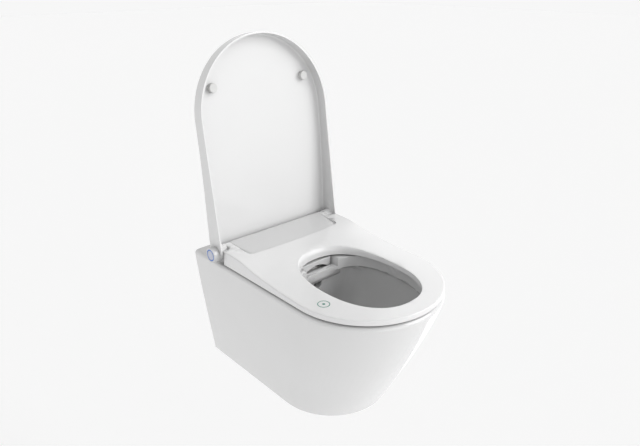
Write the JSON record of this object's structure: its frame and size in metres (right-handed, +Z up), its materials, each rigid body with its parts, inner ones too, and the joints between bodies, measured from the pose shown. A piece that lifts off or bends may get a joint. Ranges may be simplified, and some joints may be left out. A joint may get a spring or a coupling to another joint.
{
  "type": "wall-hung shower toilet",
  "caption": "Wall-hung toilet pan with a dished shower seat, an open lid, a side control knob, a wash wand behind an arched guard and a dryer outlet.",
  "frame": {"origin": "midway between the two wall fixing holes, on the pan's back face, which stands against the wall", "axes": "+X to the right of someone facing the toilet, +Y into the wall, +Z up; lid open and seat down at rest"},
  "size_m": [0.3927, 0.5962, 0.84],
  "materials": {
    "glazed_ceramic": "gloss glaze",
    "seat_plastic": "gloss",
    "heater_film": "matt film",
    "buffer_rubber": "matt",
    "bush_plastic": "matt",
    "lid_plastic": "gloss",
    "housing_plastic": "gloss",
    "tray_plastic": "matt",
    "steel": "plain",
    "damper_plastic": "matt",
    "knob_plastic": "satin",
    "ring_plastic": "clear blue",
    "wand_plastic": "gloss",
    "motor_can": "brushed",
    "gear_plastic": "matt",
    "lens_plastic": "frosted",
    "brass": "machined",
    "tank_plastic": "matt",
    "hose_rubber": "matt",
    "board": "solder mask"
  },
  "bodies": {
    "pan": {"ceramic_pan": "glazed_ceramic", "housing_cover": "housing_plastic", "housing_base": "tray_plastic", "cover_screws": "steel", "mounting_plate": "steel", "mounting_bolts": "steel", "hinge_axles": "steel", "lid_damper": "damper_plastic", "seat_damper": "damper_plastic", "knob_base": "tray_plastic", "wand_motor": "motor_can", "nozzle_cradle": "tray_plastic", "nozzle_cover": "housing_plastic", "night_light": "lens_plastic", "blower_housing": "damper_plastic", "blower_motor": "motor_can", "dryer_duct": "tray_plastic", "power_gland": "damper_plastic", "water_inlet_fitting": "brass", "inlet_filter": "tray_plastic", "solenoid_valve": "damper_plastic", "water_pump": "damper_plastic", "heater_tank": "tank_plastic", "water_hoses": "hose_rubber", "power_supply": "damper_plastic", "control_board": "board", "board_components": "damper_plastic", "odour_filter": "damper_plastic", "fixing_sleeves": "bush_plastic"},
    "lid": {"lid_shell": "lid_plastic", "lid_bumpers": "buffer_rubber", "lid_bushes": "bush_plastic", "hinge_cap": "lid_plastic"},
    "seat": {"seat_top_shell": "seat_plastic", "seat_bottom_shell": "seat_plastic", "seat_heater": "heater_film", "seat_bushes": "bush_plastic", "seat_buffers": "buffer_rubber"},
    "knob": {"control_knob": "knob_plastic", "knob_light_ring": "ring_plastic"},
    "knob_button": {"knob_button": "knob_plastic"},
    "wand": {"wand_tube": "wand_plastic", "nozzle_tip": "wand_plastic"},
    "pinion": {"drive_pinion": "gear_plastic"},
    "fan": {"blower_fan": "damper_plastic"},
    "dryer_flap": {"dryer_flap": "tray_plastic"}
  },
  "joints": [
    {"name": "lid_hinge", "type": "hinge", "parent": "pan", "child": "lid", "pos_m": [0, -0.104, 0.112], "axis": [-1, 0, 0], "range_deg": [-97.9, 0]},
    {"name": "seat_hinge", "type": "hinge", "parent": "pan", "child": "seat", "pos_m": [0, -0.104, 0.112], "axis": [-1, 0, 0], "range_deg": [0, 92]},
    {"name": "knob_turn", "type": "hinge", "parent": "pan", "child": "knob", "pos_m": [0, -0.104, 0.112], "axis": [1, 0, 0], "continuous": true},
    {"name": "knob_press", "type": "slide", "parent": "knob", "child": "knob_button", "axis": [1, 0, 0], "range_m": [0, 0.0012], "stiffness_N_per_m": 900, "springref_m": -0.0006},
    {"name": "wand_slide", "type": "slide", "parent": "pan", "child": "wand", "axis": [0, -1, 0], "range_m": [0, 0.085]},
    {"name": "pinion_turn", "type": "hinge", "parent": "pan", "child": "pinion", "pos_m": [0.0145, -0.158, 0.0695], "axis": [0, 0, 1], "range_deg": [0, 696]},
    {"name": "fan_turn", "type": "hinge", "parent": "pan", "child": "fan", "pos_m": [0.042, -0.136, 0.093], "axis": [1, 0, 0], "continuous": true},
    {"name": "flap_hinge", "type": "hinge", "parent": "pan", "child": "dryer_flap", "pos_m": [0.0385, -0.2374, 0.0798], "axis": [-1, 0, 0], "range_deg": [0, 70]}
  ],
  "couplings": [
    {"joint": "pinion_turn", "follows": "wand_slide", "rad_per_m": 142.86}
  ]
}
